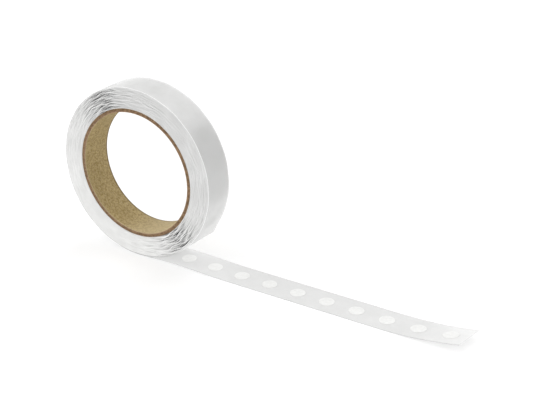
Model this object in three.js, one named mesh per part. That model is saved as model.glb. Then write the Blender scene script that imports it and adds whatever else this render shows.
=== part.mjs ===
// Roll of round adhesive dots on a clear release strip, wound on a paper core.
// Millimetres, +Z up. The origin is on the table, straight under the roll's axis.
// The roll's axis runs along Y, and the loose end of the strip lies along +X.
import * as THREE from 'three';

// Driving sizes
const coreBoreRadius = 38.1;
const plyThickness = 0.5;
const windingThickness = 12.25;
const stripWidth = 21;
const filmThickness = 0.12;
const dotRadius = 4.5;
const dotThickness = 0.22;
const dotPitch = 19.1;
const firstDotX = 30.5;
const looseDotCount = 10;
const endMargin = 9.6;
const curlLength = 47;
const curlRise = 4.6;
const liftRise = 1.05;
const liftPeakX = 25;
const liftEndX = 67;
const baseReach = 6;
const turnStopX = 14;

// Clearances between pieces that touch on the real roll
const plyClearance = 0.03;
const spinClearance = 0.15;
const dotClearance = 0.06;
const filmClearance = 0.3;

// Fineness of the shapes
const ringSides = 72;
const dotSides = 24;
const stripStep = 3;

// Sizes that follow from the ones above
const plyNames = ['core_inner_ply', 'core_body_ply_1', 'core_body_ply_2', 'core_outer_ply'];
const plyPitch = plyThickness + plyClearance;
const windingInnerRadius = coreBoreRadius + plyNames.length * plyPitch;
const windingRadius = windingInnerRadius + windingThickness;
const dotSeatRadius = windingRadius + spinClearance + dotThickness;
const facetShare = Math.cos(Math.PI / ringSides);
const turnInnerRadius = (Math.hypot(dotSeatRadius, dotRadius) + dotClearance) / facetShare;
const turnRadius = turnInnerRadius + filmThickness;
const stripEndX = firstDotX + (looseDotCount - 1) * dotPitch + endMargin;
const curlStartX = stripEndX - curlLength;
const curlRadius = (curlLength ** 2 + curlRise ** 2) / (2 * curlRise);

// Finishes
const core = { color: 0xa8926b, roughness: 0.95, metalness: 0 };
const film = { color: 0xe9e9e8, roughness: 0.3, metalness: 0 };
const winding = { color: 0xdededd, roughness: 0.35, metalness: 0 };
const gel = { color: 0xf6f6f5, roughness: 0.2, metalness: 0 };

const object = new THREE.Group();
const roll = new THREE.Group();
roll.position.z = turnRadius;
object.add(roll);

function addMesh(name, geometry, finish, parent) {
  const mesh = new THREE.Mesh(geometry, new THREE.MeshStandardMaterial(finish));
  mesh.name = name;
  parent.add(mesh);
  return mesh;
}

// An outline drawn in X and Z becomes a piece as wide as the strip, centred on Y = 0.
function addAcross(name, shape, finish, parent) {
  const options = { depth: stripWidth, bevelEnabled: false, curveSegments: ringSides / 2 };
  const geometry = new THREE.ExtrudeGeometry(shape, options);
  geometry.translate(0, 0, -stripWidth / 2);
  geometry.rotateX(Math.PI / 2);
  addMesh(name, geometry, finish, parent);
}

// A closed ring round the roll's axis
function addRing(name, innerRadius, outerRadius, finish) {
  const shape = new THREE.Shape();
  shape.absarc(0, 0, outerRadius, 0, 2 * Math.PI);
  const bore = new THREE.Path();
  bore.absarc(0, 0, innerRadius, 0, 2 * Math.PI);
  shape.holes.push(bore);
  addAcross(name, shape, finish, roll);
}

// Height of the loose strip's underside: a low rise beside the roll, and a curl at the free end
function stripHeight(x) {
  if (x > curlStartX) {
    return curlRadius - Math.sqrt(curlRadius ** 2 - (x - curlStartX) ** 2);
  }
  const rise = THREE.MathUtils.smoothstep(x, 0, liftPeakX);
  const fall = THREE.MathUtils.smoothstep(x, liftPeakX, liftEndX);
  return liftRise * (rise - fall);
}

// The loose strip between two places along X
function addStrip(name, startX, endX) {
  const stepCount = Math.ceil((endX - startX) / stripStep);
  const lower = [];
  for (let step = 0; step <= stepCount; step += 1) {
    const x = THREE.MathUtils.lerp(startX, endX, step / stepCount);
    lower.push(new THREE.Vector2(x, stripHeight(x)));
  }
  const upper = lower.map((point) => new THREE.Vector2(point.x, point.y + filmThickness));
  addAcross(name, new THREE.Shape([...lower, ...upper.reverse()]), film, object);
}

// One dot: a thin round pad at a place, with its faces turned to look along a direction
function addDot(name, centre, facing, parent) {
  const geometry = new THREE.CylinderGeometry(dotRadius, dotRadius, dotThickness, dotSides);
  const mesh = addMesh(name, geometry, gel, parent);
  mesh.position.copy(centre);
  mesh.quaternion.setFromUnitVectors(new THREE.Vector3(0, 1, 0), facing);
}

// A dot on top of the loose strip, tilted with it
function addLooseDot(name, x) {
  const before = stripHeight(x - dotRadius);
  const after = stripHeight(x + dotRadius);
  const facing = new THREE.Vector3(before - after, 0, 2 * dotRadius).normalize();
  const bow = Math.abs((before + after) / 2 - stripHeight(x));
  const rise = bow + filmThickness + dotClearance + dotThickness / 2;
  const centre = new THREE.Vector3(x, 0, stripHeight(x)).addScaledVector(facing, rise);
  addDot(name, centre, facing, object);
}

// A two-figure number for the names of the dots
function numbered(stem, number) {
  return `${stem}_${String(number).padStart(2, '0')}`;
}

// Paper core: plies of board glued one round the other
plyNames.forEach((name, ply) => {
  const innerRadius = coreBoreRadius + ply * plyPitch;
  addRing(name, innerRadius, innerRadius + plyThickness, core);
});

// The turns that are still wound tight, with the dots between them
addRing('wound_strip', windingInnerRadius, windingRadius, winding);

// The last turn: from beside the roll's foot, round over the top, to its inner end
const turnStart = Math.asin((baseReach + filmClearance) / turnRadius);
const turnStop = 2 * Math.PI - Math.asin(turnStopX / turnRadius);
const outerSide = [];
for (let side = 0; side <= ringSides; side += 1) {
  const angle = -Math.PI / 2 - THREE.MathUtils.lerp(turnStart, turnStop, side / ringSides);
  outerSide.push(new THREE.Vector2(Math.cos(angle), Math.sin(angle)).multiplyScalar(turnRadius));
}
const innerShare = turnInnerRadius / turnRadius;
const innerSide = outerSide.map((point) => point.clone().multiplyScalar(innerShare));
addAcross('outer_turn', new THREE.Shape([...outerSide, ...innerSide.reverse()]), film, roll);

// Dots on the loose strip
for (let number = 1; number <= looseDotCount; number += 1) {
  addLooseDot(numbered('loose_dot', number), firstDotX + (number - 1) * dotPitch);
}

// Dots that the roll's foot hides, on the strip's base
let hiddenDotX = firstDotX - dotPitch;
for (let number = 1; hiddenDotX - dotRadius > -baseReach; number += 1) {
  addLooseDot(numbered('hidden_dot', number), hiddenDotX);
  hiddenDotX -= dotPitch;
}

// Dots on the inside of the last turn, going on from the hidden ones one pitch after another
const turnMidRadius = (turnRadius + turnInnerRadius) / 2;
for (let number = 1; ; number += 1) {
  const turned = ((number - 1) * dotPitch - hiddenDotX) / turnMidRadius;
  if (turned + dotRadius / turnMidRadius > turnStop) {
    break;
  }
  const inward = new THREE.Vector3(Math.sin(turned), 0, Math.cos(turned));
  const centre = inward.clone().multiplyScalar(dotThickness / 2 - dotSeatRadius);
  addDot(numbered('turn_dot', number), centre, inward, roll);
}

// The loose strip, in lengths that bend against each other half-way between two dots
const bendX = (bend) => firstDotX + (bend - 0.5) * dotPitch;
addStrip('strip_base', -baseReach, bendX(1) - filmClearance / 2);
for (let length = 1; length < looseDotCount; length += 1) {
  const isLast = length === looseDotCount - 1;
  const endX = isLast ? stripEndX : bendX(length + 1) - filmClearance / 2;
  addStrip(`loose_strip_${length}`, bendX(length) + filmClearance / 2, endX);
}

export default object;
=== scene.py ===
import math

import bpy
import numpy as np
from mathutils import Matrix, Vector, noise


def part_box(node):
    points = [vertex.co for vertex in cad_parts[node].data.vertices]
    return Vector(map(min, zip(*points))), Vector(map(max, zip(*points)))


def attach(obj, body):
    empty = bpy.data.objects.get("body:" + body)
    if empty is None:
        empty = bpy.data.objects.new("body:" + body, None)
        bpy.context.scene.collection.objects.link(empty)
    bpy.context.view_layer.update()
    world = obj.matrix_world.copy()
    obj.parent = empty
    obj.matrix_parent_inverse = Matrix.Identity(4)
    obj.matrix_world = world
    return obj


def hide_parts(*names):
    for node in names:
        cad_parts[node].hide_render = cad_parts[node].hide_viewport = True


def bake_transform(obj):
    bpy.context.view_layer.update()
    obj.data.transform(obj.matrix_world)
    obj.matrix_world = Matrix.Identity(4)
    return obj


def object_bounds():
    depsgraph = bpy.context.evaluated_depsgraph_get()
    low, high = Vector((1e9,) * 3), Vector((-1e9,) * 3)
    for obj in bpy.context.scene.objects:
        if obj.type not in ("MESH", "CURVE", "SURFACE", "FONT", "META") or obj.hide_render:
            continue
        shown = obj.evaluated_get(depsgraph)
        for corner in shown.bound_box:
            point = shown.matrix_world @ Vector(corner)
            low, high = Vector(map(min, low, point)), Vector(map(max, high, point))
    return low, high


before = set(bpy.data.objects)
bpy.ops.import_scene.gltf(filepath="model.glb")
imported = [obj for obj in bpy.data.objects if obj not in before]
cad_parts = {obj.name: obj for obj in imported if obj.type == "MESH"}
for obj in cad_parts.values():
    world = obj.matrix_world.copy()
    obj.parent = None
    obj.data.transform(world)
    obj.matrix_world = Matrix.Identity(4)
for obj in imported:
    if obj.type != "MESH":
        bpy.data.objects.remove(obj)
cad_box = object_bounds()

# ---- Studio table ----
# A white sweep of glossless paper in a white light tent, lit by a big softbox behind, one
# at the left and two weak fills, with a long lens looking down on the roll from its front right.

floor_size = 6.0
floor_drop = 0.00004
paper_white = (0.69, 0.69, 0.69, 1)
paper_glow = 0.31
tent_left = 1.0
tent_right = 0.6

bpy.ops.object.select_all(action="DESELECT")
bpy.ops.mesh.primitive_plane_add(size=floor_size, location=(0, 0, -floor_drop))
floor = bpy.context.object
floor.name = "paper_sweep"
floor_finish = bpy.data.materials.new("sweep_paper")
floor_finish.use_nodes = True
floor_shader = floor_finish.node_tree.nodes["Principled BSDF"]
floor_shader.inputs["Base Color"].default_value = paper_white
floor_shader.inputs["Roughness"].default_value = 0.9
floor_shader.inputs["Emission Color"].default_value = (1, 1, 1, 1)
floor_shader.inputs["Emission Strength"].default_value = paper_glow
floor_shader.inputs["Specular IOR Level"].default_value = 0.1
floor.data.materials.append(floor_finish)

room = bpy.data.worlds.new("studio")
room.use_nodes = True
tent = room.node_tree.nodes
tent["Background"].inputs["Color"].default_value = (1, 1, 1, 1)
tent_wall = tent.new("ShaderNodeTexCoord")
tent_side = tent.new("ShaderNodeSeparateXYZ")
tent_light = tent.new("ShaderNodeMapRange")
tent_light.inputs["From Min"].default_value = -1
tent_light.inputs["To Min"].default_value = tent_left
tent_light.inputs["To Max"].default_value = tent_right
room.node_tree.links.new(tent_wall.outputs["Generated"], tent_side.inputs["Vector"])
room.node_tree.links.new(tent_side.outputs["X"], tent_light.inputs["Value"])
room.node_tree.links.new(tent_light.outputs["Result"], tent["Background"].inputs["Strength"])
bpy.context.scene.world = room
bpy.context.scene.view_settings.view_transform = "Standard"


def hang_softbox(name, place, aim, size, power):
    """A square softbox at a place, turned to face a point."""
    lamp = bpy.data.lights.new(name, "AREA")
    lamp.shape = "SQUARE"
    lamp.size = size
    lamp.energy = power
    box = bpy.data.objects.new(name, lamp)
    box.location = place
    box.rotation_euler = (Vector(aim) - Vector(place)).to_track_quat("-Z", "Y").to_euler()
    bpy.context.scene.collection.objects.link(box)


hang_softbox("back_softbox", place=(0.1, 0.85, 1.15), aim=(0.05, 0, 0), size=1.2, power=5.6)
hang_softbox("left_softbox", place=(-0.95, -0.4, 0.75), aim=(0, 0, 0.03), size=0.8, power=3.6)
hang_softbox("front_fill", place=(-0.35, -0.62, 0.25), aim=(0, 0, 0.04), size=0.4, power=0.8)
hang_softbox("right_card", place=(0.42, -0.12, 0.16), aim=(0.03, 0, 0), size=0.3, power=0.18)

view_turn = math.radians(32.56)
view_drop = math.radians(24.647)
view_distance = 0.68047
view_target = Vector((0.08567, 0, 0.0534))
lens_data = bpy.data.cameras.new("long_lens")
lens_data.sensor_width = 36
lens_data.lens = 81.69
lens_data.clip_start = 0.01
lens_data.clip_end = 20
looking = Vector((
    -math.sin(view_turn) * math.cos(view_drop),
    math.cos(view_turn) * math.cos(view_drop),
    -math.sin(view_drop),
))
camera = bpy.data.objects.new("long_lens", lens_data)
camera.location = view_target - looking * view_distance
camera.rotation_euler = looking.to_track_quat("-Z", "Y").to_euler()
bpy.context.scene.collection.objects.link(camera)
bpy.context.scene.camera = camera

# ---- Core ----
# A paper tube: four plies of grey-brown board, rolled round a mandrel, glued one over
# the other and sawn to the width of the strip. The sawn ends show the plies as rings. The board is
# painted paler at the bore's lower right as painted light, with a painted highlight beside the near saw cut
# and a painted shade beside the far one.

roll_low, roll_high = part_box("wound_strip")
axis_height = (roll_low.z + roll_high.z) / 2
half_width = (roll_high.y - roll_low.y) / 2
ply_thickness = 0.0005
ply_corner = 0.00007
core_sides = 240
corner_steps = 3
# A pale fibre colour, also used for painted light and a painted highlight on the board.
pale_fibre_and_light = (0.62, 0.53, 0.36, 1)
# Dark brown of a painted shade along the bore's far edge.
painted_shade_brown = (0.17, 0.12, 0.05, 1)
# The direction in which painted light makes the board paler, towards the bore's lower right.
towards_lower_right = (0.5, 0, -0.86)
# Bands of the board's look, where each starts and where it is full; among them painted light at the lower
# right, a painted highlight beside the saw cuts and a painted shade beside the far one.
painted_light_reach = (0.022, 0.037)
sawn_end = (half_width - 0.0003, half_width - 0.0001)
painted_highlight_edge = (half_width - 0.0011, half_width - 0.0005)
painted_shade_edge = (half_width - 0.0012, half_width - 0.0005)
ply_names = ["core_inner_ply", "core_body_ply_1", "core_body_ply_2", "core_outer_ply"]


class Shade:
    """One output of a shader node. Arithmetic on it adds Math nodes, and node() adds any other."""

    def __init__(self, tree, output=None):
        self.tree = tree
        self.output = output

    def node(self, kind, settings=None, sockets=None, result=0):
        """Adds a node with its settings first, then the values or links of its sockets."""
        made = self.tree.nodes.new(kind)
        for name, value in (settings or {}).items():
            setattr(made, name, value)
        for name, value in (sockets or {}).items():
            if isinstance(value, Shade):
                self.tree.links.new(value.output, made.inputs[name])
            else:
                made.inputs[name].default_value = value
        return Shade(self.tree, made.outputs[result])

    def maths(self, operation, first, second):
        return self.node("ShaderNodeMath", {"operation": operation}, {0: first, 1: second})

    def __add__(self, other):
        return self.maths("ADD", self, other)

    def __radd__(self, other):
        return self.maths("ADD", other, self)

    def __sub__(self, other):
        return self.maths("SUBTRACT", self, other)

    def __rsub__(self, other):
        return self.maths("SUBTRACT", other, self)

    def __mul__(self, other):
        return self.maths("MULTIPLY", self, other)

    def __rmul__(self, other):
        return self.maths("MULTIPLY", other, self)

    def noise(self, scale, detail=3, roughness=0.5):
        """A noise pattern on these coordinates, from 0 to 1."""
        sockets = {"Vector": self, "Scale": scale, "Detail": detail, "Roughness": roughness}
        return self.node("ShaderNodeTexNoise", {}, sockets)

    def between(self, low, high):
        """0 where the value is under low, 1 where it is over high, and smooth between them."""
        settings = {"interpolation_type": "SMOOTHSTEP"}
        return self.node("ShaderNodeMapRange", settings, {"Value": self, "From Min": low, "From Max": high})

    def blend(self, first, second):
        """The first colour where this is 0, and the second where it is 1."""
        return self.node(
            "ShaderNodeMix", {"data_type": "RGBA"}, {"Factor": self, "A": first, "B": second}, "Result"
        )


def new_finish(name, **constants):
    """A material, its Principled shader with some sockets set, and its Object coordinates."""
    finish = bpy.data.materials.new(name)
    finish.use_nodes = True
    shader = finish.node_tree.nodes["Principled BSDF"]
    for socket, value in constants.items():
        shader.inputs[socket.replace("_", " ")].default_value = value
    place = Shade(finish.node_tree).node("ShaderNodeTexCoord", result="Object")
    return finish, shader, place


def feed(shader, socket, shade):
    shade.tree.links.new(shade.output, shader.inputs[socket])


def rough_up(shader, height, distance):
    """Feeds a height pattern, through a Bump node, to the shader's Normal."""
    feed(shader, "Normal", height.node("ShaderNodeBump", {}, {"Height": height, "Distance": distance}))


def turned_ring(name, inner_radius, outer_radius, corner, sides):
    """A closed ring round the roll's axis, spun from its own cross-section with rounded corners."""
    bpy.ops.object.select_all(action="DESELECT")
    centre = ((inner_radius + outer_radius) / 2, 0, axis_height)
    bpy.ops.mesh.primitive_plane_add(size=1, location=centre)
    ring = bpy.context.object
    ring.name = ring.data.name = name
    bpy.ops.object.mode_set(mode="EDIT")
    section = (outer_radius - inner_radius, 2 * half_width, 1)
    bpy.ops.transform.resize(value=section, center_override=centre)
    bpy.ops.mesh.bevel(offset=corner, segments=corner_steps, affect="VERTICES")
    bpy.ops.mesh.select_all(action="SELECT")
    bpy.ops.mesh.delete(type="ONLY_FACE")
    bpy.ops.mesh.select_all(action="SELECT")
    bpy.ops.mesh.spin(steps=sides, angle=2 * math.pi, center=(0, 0, axis_height), axis=(0, 1, 0))
    bpy.ops.mesh.select_all(action="SELECT")
    bpy.ops.mesh.remove_doubles(threshold=0.000002)
    bpy.ops.mesh.normals_make_consistent(inside=False)
    bpy.ops.object.mode_set(mode="OBJECT")
    bpy.ops.object.transform_apply(location=True, rotation=True, scale=True)
    bpy.ops.object.shade_smooth_by_angle(angle=math.radians(50))
    return ring


def board_finish(name, face, fleck, sawn, sawn_dark):
    """Chipboard: mottled faces with dark and pale fibres, painted light at the lower right, and browner,
    rougher sawn ends. The faces carry a painted highlight beside both saw cuts, covered by a painted shade
    beside the far one."""
    finish, shader, place = new_finish(name, Roughness=0.92, Specular_IOR_Level=0.25)
    # The faces: mottled, with dark and pale fibres in them.
    mottle = place.noise(scale=760, detail=5, roughness=0.7)
    fibres = place.noise(scale=2100, detail=2, roughness=0.6).between(0.52, 0.64)
    pale = place.noise(scale=1600, detail=3, roughness=0.6).between(0.54, 0.68)
    bands = place.noise(scale=60, detail=2).between(0.3, 0.7)
    paper = mottle.between(0.4, 0.62).blend(face, fleck)
    paper = (bands * 0.25).blend(paper, fleck)
    paper = (fibres * 0.55).blend(paper, sawn_dark)
    paper = (pale * 0.35).blend(paper, pale_fibre_and_light)
    # Painted light: paler towards the lower right of the bore, where more light falls on it.
    below = place.node(
        "ShaderNodeVectorMath", {"operation": "DOT_PRODUCT"}, {0: place, 1: towards_lower_right}, "Value"
    )
    painted_light = (below - towards_lower_right[2] * axis_height).between(*painted_light_reach)
    paper = (painted_light * 0.32).blend(paper, pale_fibre_and_light)
    # The sawn ends, with a painted highlight on the faces beside both saw cuts and a painted shade beside the
    # far one.
    across = place.node("ShaderNodeSeparateXYZ", {}, {"Vector": place}, "Y")
    side = across.node("ShaderNodeMath", {"operation": "ABSOLUTE"}, {0: across})
    end = side.between(*sawn_end)
    # Painted highlight: paler beside both saw cuts.
    painted_highlight = side.between(*painted_highlight_edge)
    paper = (painted_highlight * 0.4).blend(paper, pale_fibre_and_light)
    # Painted shade: dark along the far saw cut, where the bore's inner corner lies in shade.
    painted_shade = across.between(*painted_shade_edge)
    paper = painted_shade.blend(paper, painted_shade_brown)
    cut = place.noise(scale=700, detail=3, roughness=0.7).between(0.35, 0.65).blend(sawn, sawn_dark)
    feed(shader, "Base Color", end.blend(paper, cut))
    rough_up(shader, mottle * 0.6 + fibres * 0.4, distance=0.00012)
    return finish


inner_board = board_finish(
    "bore_board", face=(0.5, 0.39, 0.195, 1), fleck=(0.29, 0.215, 0.085, 1),
    sawn=(0.36, 0.235, 0.145, 1), sawn_dark=(0.22, 0.145, 0.085, 1),
)
body_board = board_finish(
    "body_board", face=(0.30, 0.22, 0.12, 1), fleck=(0.22, 0.16, 0.085, 1),
    sawn=(0.29, 0.185, 0.105, 1), sawn_dark=(0.15, 0.092, 0.05, 1),
)
for name in ply_names:
    low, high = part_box(name)
    outer_radius = (high.x - low.x) / 2
    ply = turned_ring(name + "_board", outer_radius - ply_thickness, outer_radius, ply_corner, core_sides)
    ply.data.materials.append(inner_board if name == "core_inner_ply" else body_board)
    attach(ply, "roll")
    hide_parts(name)

# ---- Wound strip ----
# Thirty-seven turns of thin milky film, wound over the core, with a dot of gel every pitch. The
# dots hold the turns apart, so the film sags between them and the turns run wavy, most of all on
# two opposite sides where the winding is slack.

film_thickness = 0.00012
dot_radius = 0.0045
dot_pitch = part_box("loose_dot_02")[0].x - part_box("loose_dot_01")[0].x
turn_gap = 0.00022
outer_room = 0.00028
core_room = 0.00003
winding_outer = (roll_high.x - roll_low.x) / 2 + outer_room
winding_inner = (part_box("core_outer_ply")[1].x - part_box("core_outer_ply")[0].x) / 2 + core_room
turn_count = round((winding_outer - winding_inner) / (film_thickness + turn_gap))
turn_rise = (winding_outer - winding_inner - film_thickness) / turn_count
turn_steps = 180
# Sag between the dots, and how much of it each turn takes over from the turn below.
sag_share = 0.8
memory = 0.8
propped_share = 0.7
even_prop = 0.58
# Waves where the turns gather, most of all on the two slack sides.
gather_rise = 0.00088
gather_turns = 2.1
gather_span = 0.0055
loose_angle = 2.57
loose_least = 0.35
loose_more = 0.65
loose_power = 6
loose_lean = 0.3
# The first and last turns lie even.
even_in_turns = 2
even_out_turns = 3
even_last_turns = 0.5
closest_lay = 1.08
# A narrow gap between the core and the first turns.
core_gap = 0.0005
gap_angle = 5.77
gap_span = 0.16
gap_turns = 4
# The strip strays sideways in slow waves: each wave's length, its start and its share.
strip_wander = 0.00014
wander_share = 0.3
wander_waves = [(0.83, 0, 1), (0.291, 1, 1), (0.137, 2, 1), (0.061, 0, 0.5)]
wound_width = 2 * (half_width - strip_wander)
film_end_x = 0.014
turn_stop = 2 * math.pi - math.asin(film_end_x / axis_height)


def smooth_step(value, low, high):
    share = np.clip((value - low) / (high - low), 0, 1)
    return share * share * (3 - 2 * share)


def wind_up():
    """Radius of the film's middle and the length wound so far, step by step from the core outwards."""
    radii, lengths, sags = [], [], []
    length = 0
    for step in range(turn_count * turn_steps + 1):
        turns = step / turn_steps
        even_radius = winding_inner + film_thickness / 2 + turn_rise * turns
        length += even_radius * 2 * math.pi / turn_steps
        from_dot = abs((length / dot_pitch + 0.5) % 1 - 0.5) * dot_pitch
        propped = 1 - smooth_step(from_dot, propped_share * dot_radius, dot_pitch / 2)
        below = sags[step - turn_steps] if step >= turn_steps else 0
        fresh = (propped - even_prop) * sag_share * (turn_rise - film_thickness) if step >= turn_steps else 0
        sags.append(memory * below + fresh)
        settle = smooth_step(turns, 0, even_in_turns)
        settle -= smooth_step(turns, turn_count - even_out_turns, turn_count - even_last_turns)
        angle = turns * 2 * math.pi
        spot = Vector((math.cos(angle), math.sin(angle), 0)) * even_radius / gather_span
        loose_side = math.cos(turn_stop - angle - loose_angle)
        looseness = loose_least + loose_more * loose_side ** loose_power * (1 - loose_lean * loose_side)
        gather = gather_rise * looseness * noise.noise(spot + Vector((0, 0, turns / gather_turns)))
        radius = even_radius + (sags[step] + gather) * settle
        from_gap = (turn_stop - angle - gap_angle + math.pi) % (2 * math.pi) - math.pi
        radius += core_gap * math.exp(-(from_gap / gap_span) ** 2) * (1 - smooth_step(turns, 0, gap_turns))
        if step >= turn_steps:
            radius = max(radius, radii[step - turn_steps] + film_thickness * closest_lay)
        radii.append(radius)
        lengths.append(length)
    return np.array(radii), np.array(lengths)


wound_radii, wound_lengths = wind_up()
wound_length = wound_lengths[-1]


def wander(length):
    """How far the strip strays sideways along its length, as turns never land quite flush."""
    turned = length * 2 * math.pi
    waves = sum(share * np.sin(turned / wave + start) for wave, start, share in wander_waves)
    return strip_wander * wander_share * waves


def wind(piece, thickness_share):
    """Moves a flat piece on the strip, laid along X, to its place on the roll."""
    count = len(piece.data.vertices)
    flat = np.empty(count * 3)
    piece.data.vertices.foreach_get("co", flat)
    flat = flat.reshape(count, 3)
    steps = np.interp(flat[:, 0], wound_lengths, np.arange(len(wound_lengths)))
    over = np.interp(steps, np.arange(len(wound_radii)), wound_radii)
    under = np.interp(steps - turn_steps, np.arange(len(wound_radii)), wound_radii)
    share = thickness_share(flat[:, 2])
    radius = over + share * (under - over) if share is not None else over
    turned = turn_stop + (len(wound_radii) - 1 - steps) * 2 * math.pi / turn_steps
    placed = np.stack([
        -radius * np.sin(turned),
        flat[:, 1] + wander(flat[:, 0]),
        axis_height - radius * np.cos(turned),
    ], axis=1)
    piece.data.vertices.foreach_set("co", placed.ravel())
    piece.data.update()


def flat_film(name, length, width, steps, rows):
    """A length of film cut flat: along X from 0, and centred on Y = 0."""
    bpy.ops.object.select_all(action="DESELECT")
    bpy.ops.mesh.primitive_grid_add(x_subdivisions=steps, y_subdivisions=rows, size=1, location=(0, 0, 0))
    film = bpy.context.object
    film.name = film.data.name = name
    bpy.ops.object.mode_set(mode="EDIT")
    bpy.ops.transform.resize(value=(length, width, 1), center_override=(0, 0, 0))
    bpy.ops.transform.translate(value=(length / 2, 0, 0))
    bpy.ops.object.mode_set(mode="OBJECT")
    return film


def finish_with(piece, kind, **settings):
    """Adds one modifier to a piece and applies it."""
    bpy.ops.object.select_all(action="DESELECT")
    piece.select_set(True)
    bpy.context.view_layer.objects.active = piece
    modifier = piece.modifiers.new(kind.title(), kind)
    for name, value in settings.items():
        setattr(modifier, name, value)
    bpy.ops.object.modifier_apply(modifier=modifier.name)


def smooth_faces(piece):
    bpy.ops.object.select_all(action="DESELECT")
    piece.select_set(True)
    bpy.context.view_layer.objects.active = piece
    bpy.ops.object.shade_smooth_by_angle(angle=math.radians(40))


wound_film = flat_film("wound_film", wound_length, wound_width, steps=turn_count * turn_steps, rows=1)
wind(wound_film, lambda height: None)
finish_with(wound_film, "SOLIDIFY", thickness=film_thickness, offset=0)
smooth_faces(wound_film)

# Milky and glossy at the film's edges and on the outermost turn, with a painted glow there for light through
# the film;
# deep between the turns its colour is painted near black as shade, and dull. The painted glow is strongest at
# the lower left, as painted light from the table.
milky_edge = (half_width - 0.003, half_width - 0.0016)
outermost = (winding_outer - 0.0005, winding_outer - 0.0003)
thin_milk = (0.66, 0.66, 0.655, 1)
thick_milk = (0.72, 0.72, 0.715, 1)
# Near black, painted as shade deep between the turns.
painted_shade_between = (0.006, 0.006, 0.006, 1)
# Painted glow: from least to most towards the lower left, as painted light from the table.
towards_lower_left = (-0.5, 0, -0.86)
painted_glow_reach = (-0.04, 0.055)
least_painted_glow = (0.6, 0.6, 0.6, 1)
most_painted_glow = (1, 1, 0.99, 1)
unlit = (0, 0, 0, 1)
wound_finish, wound_shader, wound_place = new_finish("wound_film", IOR=1.5, Emission_Strength=0.2)
haze = wound_place.noise(scale=90, detail=3, roughness=0.6).between(0.3, 0.7)
side = wound_place.node("ShaderNodeSeparateXYZ", {}, {"Vector": wound_place}, "Y")
side = side.node("ShaderNodeMath", {"operation": "ABSOLUTE"}, {0: side})
shallow = side.between(*milky_edge)
centred = wound_place.node(
    "ShaderNodeVectorMath", {"operation": "SUBTRACT"}, {0: wound_place, 1: (0, 0, axis_height)}, "Vector"
)
flat_place = centred.node(
    "ShaderNodeVectorMath", {"operation": "MULTIPLY"}, {0: centred, 1: (1, 0, 1)}, "Vector"
)
radius = flat_place.node("ShaderNodeVectorMath", {"operation": "LENGTH"}, {0: flat_place}, "Value")
outside = radius.between(*outermost)
below = centred.node(
    "ShaderNodeVectorMath", {"operation": "DOT_PRODUCT"}, {0: centred, 1: towards_lower_left}, "Value"
)
painted_glow = below.between(*painted_glow_reach).blend(least_painted_glow, most_painted_glow)
milky = (shallow + outside).node("ShaderNodeClamp", {}, {"Value": shallow + outside})
feed(wound_shader, "Base Color", milky.blend(painted_shade_between, haze.blend(thin_milk, thick_milk)))
feed(wound_shader, "Roughness", 0.7 - milky * 0.55)
# Painted glow at the film's edges and on the outermost turn; black deep between the turns.
feed(wound_shader, "Emission Color", milky.blend(unlit, painted_glow))
wound_film.data.materials.append(wound_finish)
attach(wound_film, "roll")
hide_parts("wound_strip")

# ---- Dots between the turns ----
# Soft gel discs, one every pitch on the same strip, squeezed between two turns of film. Little
# light gets in between the turns, so their colour is painted dark as shade.

wound_dot_sides = 14
dot_from = 0.28
dot_share = 0.44
bare_steps = turn_steps + 8
bare_dots = math.ceil(wound_lengths[bare_steps] / dot_pitch)
wound_dot_count = int(wound_length / dot_pitch) - bare_dots
bpy.ops.object.select_all(action="DESELECT")
bpy.ops.mesh.primitive_cylinder_add(vertices=wound_dot_sides, radius=dot_radius, depth=1, location=(0, 0, 0))
wound_dots = bpy.context.object
wound_dots.name = wound_dots.data.name = "wound_dots"
bpy.ops.object.mode_set(mode="EDIT")
bpy.ops.transform.translate(value=(bare_dots * dot_pitch, 0, 0.5))
bpy.ops.object.mode_set(mode="OBJECT")
finish_with(
    wound_dots, "ARRAY", count=wound_dot_count, use_relative_offset=False,
    use_constant_offset=True, constant_offset_displace=(dot_pitch, 0, 0),
)
wind(wound_dots, lambda height: dot_from + height * dot_share)
pressed_finish, pressed_shader, pressed_place = new_finish("pressed_gel", Roughness=0.15, IOR=1.45)
cloud = pressed_place.noise(scale=600, detail=3, roughness=0.6).between(0.3, 0.7)
# Painted shade: the gel is coloured dark, for the little light between the turns.
feed(pressed_shader, "Base Color", cloud.blend((0.12, 0.125, 0.115, 1), (0.2, 0.205, 0.19, 1)))
wound_dots.data.materials.append(pressed_finish)
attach(wound_dots, "roll")

# ---- Last turn and the strip under the roll's foot ----
# The same film, leaving the roll: round over the top, down to the table, and out along it to
# the middle of the first dot. It is slack at its lower right: there its far edge stands off the
# roll, kinks, and runs nearly straight down to the foot.

first_dot_x = (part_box("loose_dot_01")[0].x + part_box("loose_dot_01")[1].x) / 2
overlap_angle = 0.05
turn_length = axis_height * (2 * math.pi + overlap_angle)
lift_rise = 0.00105
lift_peak_x = 0.025
lift_end_x = 0.067
strip_end_x = cad_box[1].x
curl_length = 0.047
curl_rise = 0.0046
curl_start_x = strip_end_x - curl_length
curl_radius = (curl_length ** 2 + curl_rise ** 2) / (2 * curl_rise)
film_step = 0.0012
film_rows = 6
# The slack far edge, in angles round the roll from the foot.
kink_angle = 0.89
kink_rise = 0.0014
foot_angle = 0.47
foot_rise = 0.0016
leave_angle = 1.1
touch_angle = 0.12
# Dips between the dots, once the film is slack enough, and the tuck at the film's end.
slack_from = 0.12
slack_to = 0.35
dip_depth = 0.00016
dip_share = 0.8
tuck_depth = 0.0004
tuck_from = 0.1
tuck_to = 0.4


def strip_height(x):
    """Height of the loose strip's underside."""
    if x > curl_start_x:
        return curl_radius - math.sqrt(curl_radius ** 2 - (x - curl_start_x) ** 2)
    return lift_rise * float(smooth_step(x, 0, lift_peak_x) - smooth_step(x, lift_peak_x, lift_end_x))


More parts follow.
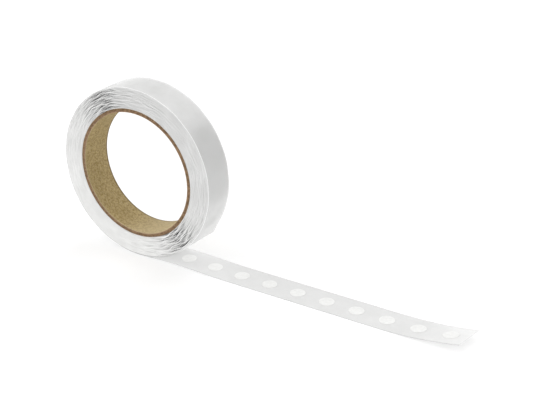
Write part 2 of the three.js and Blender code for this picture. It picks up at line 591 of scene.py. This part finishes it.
def slack_rise(left_over):
    """How far the film's far edge stands off the roll: it leaves it, kinks, and runs straight to the foot."""
    kink = Vector((math.sin(kink_angle), -math.cos(kink_angle))) * (axis_height + kink_rise)
    foot = Vector((math.sin(foot_angle), -math.cos(foot_angle))) * (axis_height + foot_rise)
    if left_over > kink_angle:
        return kink_rise * (1 - float(smooth_step(left_over, kink_angle, leave_angle)))
    if left_over > foot_angle:
        outward = Vector((math.sin(left_over), -math.cos(left_over)))
        across_run = Vector((kink.y - foot.y, foot.x - kink.x))
        return kink.dot(across_run) / outward.dot(across_run) - axis_height
    return foot_rise * float(smooth_step(left_over, touch_angle, foot_angle))


def last_turn_place(along, across, height):
    """A point on the last turn: along from the first dot's middle back over the roll."""
    if along < first_dot_x:
        x = first_dot_x - along
        return Vector((x, across, strip_height(x) + height))
    turned = (along - first_dot_x) / axis_height
    left_over = (turn_length + first_dot_x - along) / axis_height
    from_dot = abs(((along / dot_pitch) + 0.5) % 1 - 0.5) * dot_pitch
    slack = smooth_step(turned, slack_from, slack_to)
    dip = dip_depth * slack * float(smooth_step(from_dot, dip_share * dot_radius, dot_pitch / 2))
    bulge = slack_rise(left_over) * (1 + across / half_width) / 2
    tuck = tuck_depth * (1 - float(smooth_step(left_over, tuck_from, tuck_to)))
    radius = axis_height - dip + bulge - tuck - height
    return Vector((-radius * math.sin(turned), across, axis_height - radius * math.cos(turned)))


outer_length = first_dot_x + turn_length
outer_film = flat_film("outer_film", outer_length, 2 * half_width, round(outer_length / film_step), film_rows)
for vertex in outer_film.data.vertices:
    vertex.co = last_turn_place(vertex.co.x, vertex.co.y, film_thickness / 2)
finish_with(outer_film, "SOLIDIFY", thickness=film_thickness, offset=0)
smooth_faces(outer_film)

# Milky film, part clear, with a painted glow. Painted light makes it paler near the roll's foot and at the
# tip, painted shade darker at the roll's right, and painted highlights light its edges on the roll; on the
# table its cut edge is a painted shadow line.
lean_share = 0.2
lifted = (0.002, 0.006)
# Reaches of painted light, near the roll's foot and near the tip.
near_roll_x = (0.085, 0.01)
near_tip_x = (0.18, 0.21)
# Reach of a painted highlight along the film's edges on the roll.
painted_highlight_reach = (half_width - 0.0005, half_width - 0.0002)
cut_face = (half_width - 0.000015, half_width - 0.000005)
# Direction and reach of a painted shade on the roll's right.
towards_right = (0.951, 0, 0.309)
painted_shade_reach = (0.044, 0.0535)
thin_film = (0.535, 0.535, 0.53, 1)
thick_film = (0.565, 0.565, 0.56, 1)
# Paler film, painted light near the roll's foot and at the tip.
painted_light_film = (0.69, 0.69, 0.685, 1)
# Darker film, painted shade at the roll's right.
painted_shade_film = (0.4, 0.4, 0.395, 1)
# Lighter film, a painted highlight along its edges on the roll.
painted_highlight_film = (0.8, 0.8, 0.8, 1)
# Cut edge colours: dark as a painted shadow on the table, light as a painted highlight on the roll.
painted_shadow_cut = (0.12, 0.12, 0.12, 1)
painted_highlight_cut = (0.93, 0.93, 0.93, 1)
# White of the painted glow over the film.
painted_glow_white = (1, 1, 1, 1)
film_finish, film_shader, film_place = new_finish(
    "release_film", Roughness=0.3, IOR=1.5, Emission_Strength=0.2
)
haze = film_place.noise(scale=70, detail=3, roughness=0.6).between(0.3, 0.7)
side = film_place.node("ShaderNodeSeparateXYZ", {}, {"Vector": film_place}, "Y")
side = side.node("ShaderNodeMath", {"operation": "ABSOLUTE"}, {0: side})
film_x = film_place.node("ShaderNodeSeparateXYZ", {}, {"Vector": film_place}, "X")
film_z = film_place.node("ShaderNodeSeparateXYZ", {}, {"Vector": film_place}, "Z")
off_table = (film_z - film_x * lean_share).between(*lifted)
# Painted light: paler film on the table near the roll's foot and, half as much, near the tip.
painted_light_near_ends = (film_x.between(*near_roll_x) + film_x.between(*near_tip_x) * 0.5) * (1 - off_table)
# Painted highlight: a lighter band along both edges of the film on the roll.
edge = side.between(*painted_highlight_reach) * off_table
cut = side.between(*cut_face)
# Painted shade: darker film on the roll's right, mottled by the haze.
painted_shade_right = film_place.node(
    "ShaderNodeVectorMath", {"operation": "DOT_PRODUCT"}, {0: film_place, 1: towards_right}, "Value"
)
painted_shade_right = (painted_shade_right - towards_right[2] * axis_height).between(*painted_shade_reach)
painted_shade_right = painted_shade_right * (0.7 + haze * 0.3) * off_table
tint = painted_light_near_ends.blend(haze.blend(thin_film, thick_film), painted_light_film)
tint = painted_shade_right.blend(tint, painted_shade_film)
tint = edge.blend(tint, painted_highlight_film)
# The cut edge: a painted shadow on the table and a painted highlight on the roll.
feed(film_shader, "Base Color", cut.blend(tint, off_table.blend(painted_shadow_cut, painted_highlight_cut)))
# Painted glow over the film, white on the roll's cut edge and black on the cut edge on the table.
feed(film_shader, "Emission Color", cut.blend(painted_glow_white, off_table.blend(unlit, painted_glow_white)))
feed(film_shader, "Alpha", 0.57 + haze * 0.03 + edge * 0.1 + cut * 0.3)
outer_film.data.materials.append(film_finish)
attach(outer_film, "strip")
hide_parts("outer_turn", "strip_base")

# ---- Loose strip ----
# The free end of the film, lying on the table, in lengths that meet under the dots. The last
# one curls up to a straight cut with a slight twist.

loose_count = sum(name.startswith("loose_strip_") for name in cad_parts)
twist_rise = 0.00065
cut_askew = 0.0012
tip_extra = 0.0009
loose_step = 0.0008
loose_rows = 8
slope_step = 0.0005


def loose_place(along, across, height):
    """A point on the loose strip, at a height over the film's underside."""
    lean = twist_rise * float(smooth_step(along, curl_start_x, strip_end_x)) * -across / half_width
    rise = strip_height(along + slope_step) - strip_height(along - slope_step)
    slope = rise / (2 * slope_step)
    tilt = math.hypot(1, slope)
    x = along - height * slope / tilt
    return Vector((x, across, strip_height(along) + lean + height / tilt))


for number in range(1, loose_count + 1):
    start_x = first_dot_x + (number - 1) * dot_pitch
    end_x = strip_end_x + tip_extra if number == loose_count else start_x + dot_pitch
    span = end_x - start_x
    length = flat_film(f"loose_film_{number}", span, 2 * half_width, round(span / loose_step), loose_rows)
    for vertex in length.data.vertices:
        askew = cut_askew * vertex.co.y / half_width if number == loose_count else 0
        stretch = vertex.co.x / span
        vertex.co = loose_place(start_x + vertex.co.x + askew * stretch ** 2, vertex.co.y, film_thickness / 2)
    finish_with(length, "SOLIDIFY", thickness=film_thickness, offset=0)
    smooth_faces(length)
    length.data.materials.append(film_finish)
    bend_x = start_x + dot_pitch / 2
    bend_place = Vector((bend_x, 0, strip_height(bend_x)))
    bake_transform(length)
    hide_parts(f"loose_strip_{number}")

# ---- Dots ----
# Flat discs of soft clear gel with a rounded rim, dosed on the film one every pitch. Each is
# only stuck down, so that it peels off on its own.

dot_sides = 48
dot_thickness = 0.00022
rim_round = 0.0001
rim_steps = 4
face_up = 0.9
glue_gap = 0.00003

# Clear, with a painted glow where they lie bare and painted light making them paler near the roll, and milky
# where they are seen through the last turn's film.
gel_finish, gel_shader, gel_place = new_finish("clear_gel", Roughness=0.2, IOR=1.45, Emission_Strength=0.33)
cloud = gel_place.noise(scale=600, detail=3, roughness=0.6).between(0.3, 0.7)
# Painted light: paler near the roll's foot.
near_roll = gel_place.node("ShaderNodeSeparateXYZ", {}, {"Vector": gel_place}, "X").between(*near_roll_x)
gel_tint = cloud.blend((0.55, 0.55, 0.54, 1), (0.565, 0.565, 0.555, 1))
feed(gel_shader, "Base Color", near_roll.blend(gel_tint, (0.68, 0.68, 0.67, 1)))
# Painted glow of the bare gel.
feed(gel_shader, "Emission Color", cloud.blend((0.92, 0.92, 0.915, 1), (0.95, 0.95, 0.945, 1)))
feed(gel_shader, "Alpha", 0.68 + cloud * 0.04)
covered_finish, covered_shader, covered_place = new_finish("covered_gel", Roughness=0.2, IOR=1.45)
cloud = covered_place.noise(scale=500, detail=3, roughness=0.6).between(0.3, 0.7)
feed(covered_shader, "Base Color", cloud.blend((0.72, 0.735, 0.7, 1), (0.84, 0.85, 0.82, 1)))


def new_dot(name):
    """One dot, flat at the origin, from its underside at Z = 0 to its top with a rounded rim."""
    bpy.ops.object.select_all(action="DESELECT")
    centre = (0, 0, dot_thickness / 2)
    bpy.ops.mesh.primitive_cylinder_add(
        vertices=dot_sides, radius=dot_radius, depth=dot_thickness, location=centre
    )
    dot = bpy.context.object
    dot.name = dot.data.name = name
    bpy.ops.object.transform_apply(location=True)
    bpy.ops.object.mode_set(mode="EDIT")
    bpy.ops.mesh.select_all(action="DESELECT")
    bpy.ops.object.mode_set(mode="OBJECT")
    for face in dot.data.polygons:
        face.select = face.normal.z > face_up
    bpy.ops.object.mode_set(mode="EDIT")
    bpy.ops.mesh.select_mode(type="FACE")
    bpy.ops.mesh.bevel(offset=rim_round, segments=rim_steps)
    bpy.ops.object.mode_set(mode="OBJECT")
    return dot


pattern_dot = new_dot("pattern_dot")


def stick_dot(name, body, gel, place):
    """A copy of the pattern dot, each point put where place says."""
    dot = pattern_dot.copy()
    dot.data = pattern_dot.data.copy()
    dot.name = dot.data.name = name + "_gel"
    bpy.context.scene.collection.objects.link(dot)
    for vertex in dot.data.vertices:
        vertex.co = place(vertex.co.x, vertex.co.y, vertex.co.z)
    dot.data.materials.append(gel)
    smooth_faces(dot)
    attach(dot, body)
    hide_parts(name)


dot_lift = film_thickness + glue_gap
for name in sorted(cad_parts):
    low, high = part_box(name)
    middle = (low + high) / 2
    if name.startswith("loose_dot_"):
        stick_dot(name, name, gel_finish, lambda x, y, z: loose_place(middle.x + x, y, dot_lift + z))
    elif name.startswith("hidden_dot_"):
        along = first_dot_x - middle.x
        stick_dot(name, "strip", covered_finish, lambda x, y, z: last_turn_place(along + x, y, dot_lift + z))
    elif name.startswith("turn_dot_"):
        turned = math.atan2(-middle.x, axis_height - middle.z) % (2 * math.pi)
        along = first_dot_x + turned * axis_height
        stick_dot(name, "strip", covered_finish, lambda x, y, z: last_turn_place(along + x, y, dot_lift + z))
bpy.data.objects.remove(pattern_dot)
